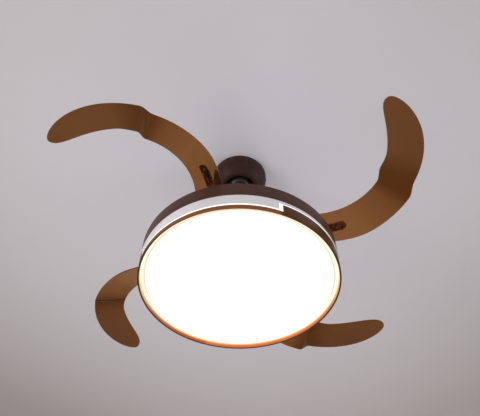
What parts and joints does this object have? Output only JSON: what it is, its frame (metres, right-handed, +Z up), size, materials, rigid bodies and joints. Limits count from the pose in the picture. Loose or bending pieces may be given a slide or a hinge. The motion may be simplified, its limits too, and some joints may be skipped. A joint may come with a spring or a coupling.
{
  "type": "retractable blade ceiling fan",
  "caption": "Hanging ceiling fan with a round light and curved translucent blades that swing out to spin and fold in over the light.",
  "frame": {"origin": "centre of the ceiling bracket's top face, which bolts against the ceiling", "axes": "+Z up into the ceiling; the fan hangs along -Z; -Y faces the picture's camera"},
  "size_m": [0.8448, 0.8448, 0.4415],
  "materials": {
    "bronze": "satin dark bronze-brown paint",
    "trim_brown": "satin lighter brown paint",
    "white_plastic": "gloss white moulding",
    "white_steel": "white powder coat",
    "led_board": "white solder mask on aluminium",
    "opal": "opal acrylic, lit",
    "light_guide": "clear light guide, lit",
    "smoky_blade": "translucent smoky brown, gloss",
    "steel": "bright steel",
    "black_steel": "black coated steel",
    "alloy_plate": "plain rolled aluminium",
    "cast_alloy": "dark cast alloy",
    "magnet": "black ferrite",
    "wound_core": "steel laminations with copper windings",
    "nylon": "natural nylon"
  },
  "bodies": {
    "ceiling_mount": {"ceiling_bracket": "black_steel", "canopy": "bronze", "canopy_screw_right": "bronze", "canopy_screw_left": "bronze"},
    "hanging_unit": {"hanger_ball": "cast_alloy", "cross_pin": "steel", "downrod": "bronze", "coupling": "cast_alloy", "coupling_pin": "steel", "coupling_cover": "bronze", "motor_cover": "bronze", "motor_shaft": "steel", "stator": "wound_core", "lower_bearing": "steel", "upper_bearing": "steel", "shaft_collar": "steel", "shaft_nut": "steel", "base_pan": "white_steel", "led_board": "led_board", "led_driver": "white_plastic", "remote_receiver": "white_plastic", "diffuser": "opal", "diffuser_catch_1": "steel", "diffuser_catch_2": "steel", "diffuser_catch_3": "steel", "upper_shell": "bronze", "white_band": "white_plastic", "light_guide": "light_guide", "lower_trim": "trim_brown"},
    "rotor": {"rotor_lower_housing": "cast_alloy", "rotor_upper_housing": "cast_alloy", "magnet_ring": "magnet", "blade_carrier": "alloy_plate", "carrier_cover": "alloy_plate", "pivot_pin_1": "steel", "pivot_pin_2": "steel", "pivot_pin_3": "steel", "pivot_pin_4": "steel", "return_spring_1": "steel", "return_spring_2": "steel", "return_spring_3": "steel", "return_spring_4": "steel", "spacer_post_1": "steel", "spacer_post_2": "steel", "spacer_post_3": "steel", "spacer_post_4": "steel"},
    "sync_gear": {"sync_ring": "nylon"},
    "blade_set_1": {"blade_1": "smoky_blade", "blade_arm_1": "steel", "blade_clamp_1": "black_steel"},
    "blade_set_2": {"blade_2": "smoky_blade", "blade_arm_2": "steel", "blade_clamp_2": "black_steel"},
    "blade_set_3": {"blade_3": "smoky_blade", "blade_arm_3": "steel", "blade_clamp_3": "black_steel"},
    "blade_set_4": {"blade_4": "smoky_blade", "blade_arm_4": "steel", "blade_clamp_4": "black_steel"}
  },
  "joints": [
    {"name": "hanger_tilt", "type": "hinge", "parent": "ceiling_mount", "child": "hanging_unit", "pos_m": [0, 0, -0.034], "axis": [1, 0, 0], "range_deg": [-15, 15]},
    {"name": "rotor_spin", "type": "hinge", "parent": "hanging_unit", "child": "rotor", "pos_m": [0, 0, -0.31], "axis": [0, 0, 1], "continuous": true},
    {"name": "sync_turn", "type": "hinge", "parent": "rotor", "child": "sync_gear", "pos_m": [0, 0, -0.348], "axis": [0, 0, 1], "range_deg": [0, 18.65]},
    {"name": "blade_1_swing", "type": "hinge", "parent": "rotor", "child": "blade_set_1", "pos_m": [0.18782, -0.06577, -0.33], "axis": [0, 0, 1], "range_deg": [-104.4, 0], "stiffness_Nm_per_rad": 0.06, "springref_deg": -148.97},
    {"name": "blade_2_swing", "type": "hinge", "parent": "rotor", "child": "blade_set_2", "pos_m": [-0.06577, -0.18782, -0.33], "axis": [0, 0, 1], "range_deg": [-104.4, 0], "stiffness_Nm_per_rad": 0.06, "springref_deg": -148.97},
    {"name": "blade_3_swing", "type": "hinge", "parent": "rotor", "child": "blade_set_3", "pos_m": [-0.18782, 0.06577, -0.33], "axis": [0, 0, 1], "range_deg": [-104.4, 0], "stiffness_Nm_per_rad": 0.06, "springref_deg": -148.97},
    {"name": "blade_4_swing", "type": "hinge", "parent": "rotor", "child": "blade_set_4", "pos_m": [0.06577, 0.18782, -0.33], "axis": [0, 0, 1], "range_deg": [-104.4, 0], "stiffness_Nm_per_rad": 0.06, "springref_deg": -148.97}
  ],
  "couplings": [
    {"joint": "blade_2_swing", "follows": "blade_1_swing", "ratio": 1},
    {"joint": "blade_3_swing", "follows": "blade_1_swing", "ratio": 1},
    {"joint": "blade_4_swing", "follows": "blade_1_swing", "ratio": 1},
    {"joint": "sync_turn", "follows": "blade_1_swing", "ratio": -0.17857}
  ]
}
